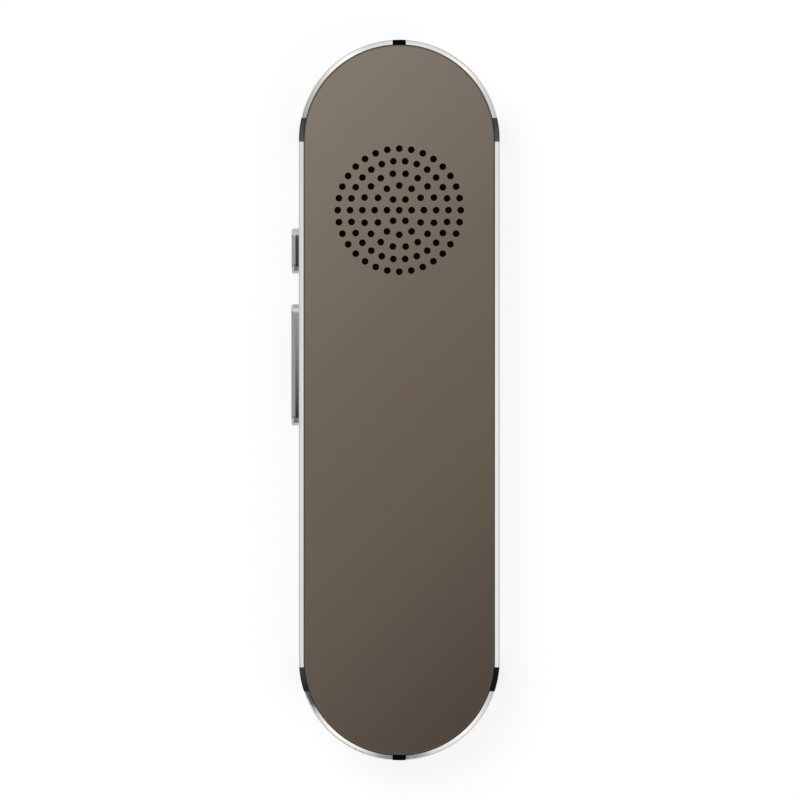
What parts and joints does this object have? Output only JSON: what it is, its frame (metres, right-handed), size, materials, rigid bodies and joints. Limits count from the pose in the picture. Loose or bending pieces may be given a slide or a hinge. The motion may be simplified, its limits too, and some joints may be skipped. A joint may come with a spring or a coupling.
{
  "type": "handheld voice translator",
  "caption": "Slim stadium-shaped voice translator: metal rim with dark inlays, taupe back with a round speaker grille, glossy front with talk keys, side keys and a charging socket.",
  "frame": {"origin": "on the outer face of the front panel, at the middle of the body, where the device lies when its speaker side is up", "axes": "+X across the body, away from the side keys; +Y along the body towards the speaker end; +Z through the thickness, from the talk keys' face to the speaker's face"},
  "size_m": [0.0395, 0.1362, 0.011],
  "materials": {
    "polished_frame": "polished",
    "inlay_dark": "gloss",
    "panel_taupe": "satin",
    "front_gloss": "gloss",
    "key_chrome": "polished",
    "talk_key_metal": "satin",
    "chassis_plastic": "matte",
    "tape": "matte",
    "board": "satin",
    "chip": "matte",
    "steel": "satin",
    "contact_gold": "polished",
    "battery_foil": "satin",
    "rubber": "matte",
    "foam": "matte",
    "mesh": "matte",
    "cone": "matte",
    "copper": "satin",
    "socket_plastic": "satin",
    "flex": "satin",
    "light": "gloss"
  },
  "bodies": {
    "root": {"antenna_film": "flex", "antenna_spring": "contact_gold", "back_panel": "panel_taupe", "back_panel_tape": "tape", "battery_adhesive": "tape", "battery_cell": "battery_foil", "battery_foam": "foam", "battery_leads": "rubber", "battery_plug": "socket_plastic", "battery_protection_board": "board", "battery_socket": "socket_plastic", "board_chips": "chip", "chassis": "chassis_plastic", "frame_inlay_bottom": "inlay_dark", "frame_inlay_lower_left": "inlay_dark", "frame_inlay_lower_right": "inlay_dark", "frame_inlay_top": "inlay_dark", "frame_inlay_upper_left": "inlay_dark", "frame_inlay_upper_right": "inlay_dark", "frame_screws": "steel", "front_panel": "front_gloss", "front_panel_tape": "tape", "grille_mesh": "mesh", "lower_microphone": "steel", "lower_microphone_boot": "rubber", "main_board": "board", "other_language_switch": "steel", "own_language_switch": "steel", "power_switch": "steel", "processor": "chip", "rocker_pin": "steel", "shield_can": "steel", "side_frame": "polished_frame", "side_key_bracket": "steel", "side_key_flex": "flex", "speaker_basket": "chassis_plastic", "speaker_cone": "cone", "speaker_contacts": "contact_gold", "speaker_dust_cap": "cone", "speaker_gasket": "foam", "speaker_magnet": "steel", "speaker_voice_coil": "copper", "status_led": "socket_plastic", "status_light_pipe": "light", "upper_microphone": "steel", "upper_microphone_boot": "rubber", "usb_shell": "steel", "usb_tongue": "chip", "volume_down_switch": "steel", "volume_up_switch": "steel"},
    "power_key": {"power_key": "key_chrome"},
    "power_plunger": {"power_plunger": "socket_plastic"},
    "volume_rocker": {"volume_rocker": "key_chrome"},
    "volume_up_plunger": {"volume_up_plunger": "socket_plastic"},
    "volume_down_plunger": {"volume_down_plunger": "socket_plastic"},
    "own_language_key": {"own_language_key": "talk_key_metal"},
    "own_language_plunger": {"own_language_plunger": "socket_plastic"},
    "other_language_key": {"other_language_key": "talk_key_metal"},
    "other_language_plunger": {"other_language_plunger": "socket_plastic"}
  },
  "joints": [
    {"name": "power_key_press", "type": "slide", "parent": "root", "child": "power_key", "axis": [1, 0, 0], "range_m": [0, 0.00035], "stiffness_N_per_m": 1200},
    {"name": "power_plunger_travel", "type": "slide", "parent": "root", "child": "power_plunger", "axis": [1, 0, 0], "range_m": [0, 0.00035]},
    {"name": "volume_rocker_tilt", "type": "hinge", "parent": "root", "child": "volume_rocker", "pos_m": [-0.016, 0.0067, 0.0056], "axis": [0, 0, 1], "range_deg": [-1.5, 1.5], "stiffness_Nm_per_rad": 0.17},
    {"name": "volume_up_plunger_travel", "type": "slide", "parent": "root", "child": "volume_up_plunger", "axis": [1, 0, 0], "range_m": [-0.00023, 0.00023]},
    {"name": "volume_down_plunger_travel", "type": "slide", "parent": "root", "child": "volume_down_plunger", "axis": [1, 0, 0], "range_m": [-0.00023, 0.00023]},
    {"name": "own_language_key_press", "type": "slide", "parent": "root", "child": "own_language_key", "axis": [0, 0, 1], "range_m": [0, 0.0003], "stiffness_N_per_m": 1200},
    {"name": "own_language_plunger_travel", "type": "slide", "parent": "root", "child": "own_language_plunger", "axis": [0, 0, 1], "range_m": [0, 0.0003]},
    {"name": "other_language_key_press", "type": "slide", "parent": "root", "child": "other_language_key", "axis": [0, 0, 1], "range_m": [0, 0.0003], "stiffness_N_per_m": 1200},
    {"name": "other_language_plunger_travel", "type": "slide", "parent": "root", "child": "other_language_plunger", "axis": [0, 0, 1], "range_m": [0, 0.0003]}
  ],
  "couplings": [
    {"joint": "power_plunger_travel", "follows": "power_key_press", "ratio": 1},
    {"joint": "volume_up_plunger_travel", "follows": "volume_rocker_tilt", "m_per_rad": -0.0085},
    {"joint": "volume_down_plunger_travel", "follows": "volume_rocker_tilt", "m_per_rad": 0.0085},
    {"joint": "own_language_plunger_travel", "follows": "own_language_key_press", "ratio": 1},
    {"joint": "other_language_plunger_travel", "follows": "other_language_key_press", "ratio": 1}
  ]
}
